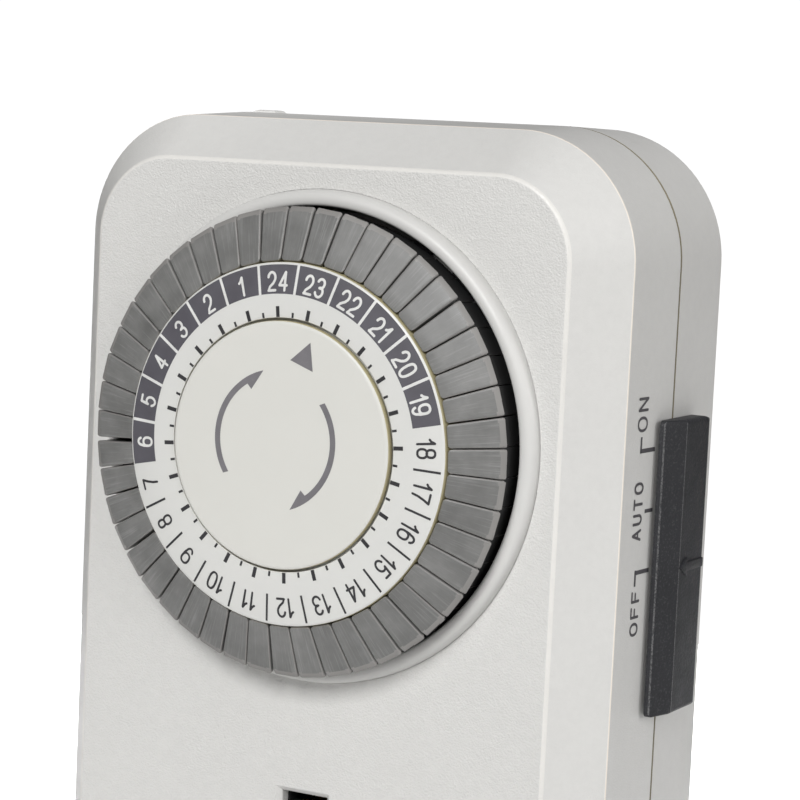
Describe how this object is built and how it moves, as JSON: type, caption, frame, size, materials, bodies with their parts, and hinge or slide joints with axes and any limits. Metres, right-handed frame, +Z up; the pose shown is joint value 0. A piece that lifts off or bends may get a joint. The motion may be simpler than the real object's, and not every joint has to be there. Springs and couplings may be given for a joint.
{
  "type": "programmable timer",
  "caption": "Plug-in mechanical timer: clockwise 24-hour dial ringed with push-in tappets, three-position side override slider, front socket and rear plug.",
  "frame": {"origin": "centre of the flat bottom, half way between the flat front face and the rear wall", "axes": "+Z up, +X to the right when facing the dial, +Y from the dial towards the wall"},
  "size_m": [0.0841, 0.0646, 0.1248],
  "materials": {
    "shell": "fine spark-eroded texture on the front, satin sides",
    "dial_white": "satin white, printed",
    "tappet_grey": "satin mid grey",
    "knob_dark": "fine-textured dark grey",
    "steel": "plain",
    "brass": "stamped",
    "copper": "enamelled copper winding",
    "nylon": "natural moulded",
    "insulator": "matt dark",
    "nickel": "nickel plated",
    "wire_white": "PVC insulation"
  },
  "bodies": {
    "housing": {"front_cover": "shell", "rear_cover": "shell", "housing_screw_ul": "steel", "housing_screw_ur": "steel", "housing_screw_ll": "steel", "housing_screw_lr": "steel", "centre_disc": "dial_white", "dial_post": "steel", "chassis_plate": "nylon", "reduction_axle": "steel", "motor_plate": "steel", "motor_can": "steel", "motor_coil": "copper", "lever_pin": "steel", "detent_spring": "steel", "live_bar": "brass", "switched_bar": "brass", "neutral_bar": "brass", "ground_bar": "brass", "plug_blade_live": "nickel", "plug_blade_neutral": "nickel", "plug_ground_pin": "nickel", "plug_holder": "insulator", "socket_block": "insulator", "socket_clip_live": "brass", "socket_clip_neutral": "brass", "socket_clip_ground": "brass", "motor_lead_neutral": "wire_white"},
    "dial": {"dial_wheel": "dial_white"},
    "override": {"override_knob": "knob_dark", "override_carriage": "nylon"},
    "lever": {"switch_lever": "nylon", "contact_arm": "brass"},
    "reduction": {"reduction_gear": "nylon"},
    "rotor": {"motor_rotor": "nickel"},
    "hour_01": {"tappets_h01": "tappet_grey"},
    "hour_02": {"tappets_h02": "tappet_grey"},
    "hour_03": {"tappets_h03": "tappet_grey"},
    "hour_04": {"tappets_h04": "tappet_grey"},
    "hour_05": {"tappets_h05": "tappet_grey"},
    "hour_06": {"tappets_h06": "tappet_grey"},
    "hour_07": {"tappets_h07": "tappet_grey"},
    "hour_08": {"tappets_h08": "tappet_grey"},
    "hour_09": {"tappets_h09": "tappet_grey"},
    "hour_10": {"tappets_h10": "tappet_grey"},
    "hour_11": {"tappets_h11": "tappet_grey"},
    "hour_12": {"tappets_h12": "tappet_grey"},
    "hour_13": {"tappets_h13": "tappet_grey"},
    "hour_14": {"tappets_h14": "tappet_grey"},
    "hour_15": {"tappets_h15": "tappet_grey"},
    "hour_16": {"tappets_h16": "tappet_grey"},
    "hour_17": {"tappets_h17": "tappet_grey"},
    "hour_18": {"tappets_h18": "tappet_grey"},
    "hour_19": {"tappets_h19": "tappet_grey"},
    "hour_20": {"tappets_h20": "tappet_grey"},
    "hour_21": {"tappets_h21": "tappet_grey"},
    "hour_22": {"tappets_h22": "tappet_grey"},
    "hour_23": {"tappets_h23": "tappet_grey"},
    "hour_24": {"tappets_h24": "tappet_grey"}
  },
  "joints": [
    {"name": "dial_spin", "type": "hinge", "parent": "housing", "child": "dial", "pos_m": [0, -0.0254, 0.083], "axis": [0, 1, 0], "continuous": true},
    {"name": "reduction_spin", "type": "hinge", "parent": "housing", "child": "reduction", "pos_m": [-0.0198, -0.0054, 0.0632], "axis": [0, 1, 0], "continuous": true},
    {"name": "rotor_spin", "type": "hinge", "parent": "housing", "child": "rotor", "pos_m": [-0.00962, 0.0026, 0.07338], "axis": [0, 1, 0], "continuous": true},
    {"name": "override_slide", "type": "slide", "parent": "housing", "child": "override", "axis": [0, 0, 1], "range_m": [0, 0.0154]},
    {"name": "lever_rock", "type": "hinge", "parent": "housing", "child": "lever", "pos_m": [0.028, 0.0049, 0.053], "axis": [0, 1, 0], "range_deg": [0, 4.05]},
    {"name": "push_01", "type": "slide", "parent": "dial", "child": "hour_01", "axis": [0, 1, 0], "range_m": [0, 0.0024]},
    {"name": "push_02", "type": "slide", "parent": "dial", "child": "hour_02", "axis": [0, 1, 0], "range_m": [0, 0.0024]},
    {"name": "push_03", "type": "slide", "parent": "dial", "child": "hour_03", "axis": [0, 1, 0], "range_m": [0, 0.0024]},
    {"name": "push_04", "type": "slide", "parent": "dial", "child": "hour_04", "axis": [0, 1, 0], "range_m": [0, 0.0024]},
    {"name": "push_05", "type": "slide", "parent": "dial", "child": "hour_05", "axis": [0, 1, 0], "range_m": [0, 0.0024]},
    {"name": "push_06", "type": "slide", "parent": "dial", "child": "hour_06", "axis": [0, 1, 0], "range_m": [0, 0.0024]},
    {"name": "push_07", "type": "slide", "parent": "dial", "child": "hour_07", "axis": [0, 1, 0], "range_m": [0, 0.0024]},
    {"name": "push_08", "type": "slide", "parent": "dial", "child": "hour_08", "axis": [0, 1, 0], "range_m": [0, 0.0024]},
    {"name": "push_09", "type": "slide", "parent": "dial", "child": "hour_09", "axis": [0, 1, 0], "range_m": [0, 0.0024]},
    {"name": "push_10", "type": "slide", "parent": "dial", "child": "hour_10", "axis": [0, 1, 0], "range_m": [0, 0.0024]},
    {"name": "push_11", "type": "slide", "parent": "dial", "child": "hour_11", "axis": [0, 1, 0], "range_m": [0, 0.0024]},
    {"name": "push_12", "type": "slide", "parent": "dial", "child": "hour_12", "axis": [0, 1, 0], "range_m": [0, 0.0024]},
    {"name": "push_13", "type": "slide", "parent": "dial", "child": "hour_13", "axis": [0, 1, 0], "range_m": [0, 0.0024]},
    {"name": "push_14", "type": "slide", "parent": "dial", "child": "hour_14", "axis": [0, 1, 0], "range_m": [0, 0.0024]},
    {"name": "push_15", "type": "slide", "parent": "dial", "child": "hour_15", "axis": [0, 1, 0], "range_m": [0, 0.0024]},
    {"name": "push_16", "type": "slide", "parent": "dial", "child": "hour_16", "axis": [0, 1, 0], "range_m": [0, 0.0024]},
    {"name": "push_17", "type": "slide", "parent": "dial", "child": "hour_17", "axis": [0, 1, 0], "range_m": [0, 0.0024]},
    {"name": "push_18", "type": "slide", "parent": "dial", "child": "hour_18", "axis": [0, 1, 0], "range_m": [0, 0.0024]},
    {"name": "push_19", "type": "slide", "parent": "dial", "child": "hour_19", "axis": [0, 1, 0], "range_m": [0, 0.0024]},
    {"name": "push_20", "type": "slide", "parent": "dial", "child": "hour_20", "axis": [0, 1, 0], "range_m": [0, 0.0024]},
    {"name": "push_21", "type": "slide", "parent": "dial", "child": "hour_21", "axis": [0, 1, 0], "range_m": [0, 0.0024]},
    {"name": "push_22", "type": "slide", "parent": "dial", "child": "hour_22", "axis": [0, 1, 0], "range_m": [0, 0.0024]},
    {"name": "push_23", "type": "slide", "parent": "dial", "child": "hour_23", "axis": [0, 1, 0], "range_m": [0, 0.0024]},
    {"name": "push_24", "type": "slide", "parent": "dial", "child": "hour_24", "axis": [0, 1, 0], "range_m": [0, 0.0024]}
  ],
  "couplings": [
    {"joint": "reduction_spin", "follows": "dial_spin", "ratio": -6},
    {"joint": "rotor_spin", "follows": "dial_spin", "ratio": 30},
    {"joint": "lever_rock", "follows": "override_slide", "rad_per_m": 4.5333}
  ]
}
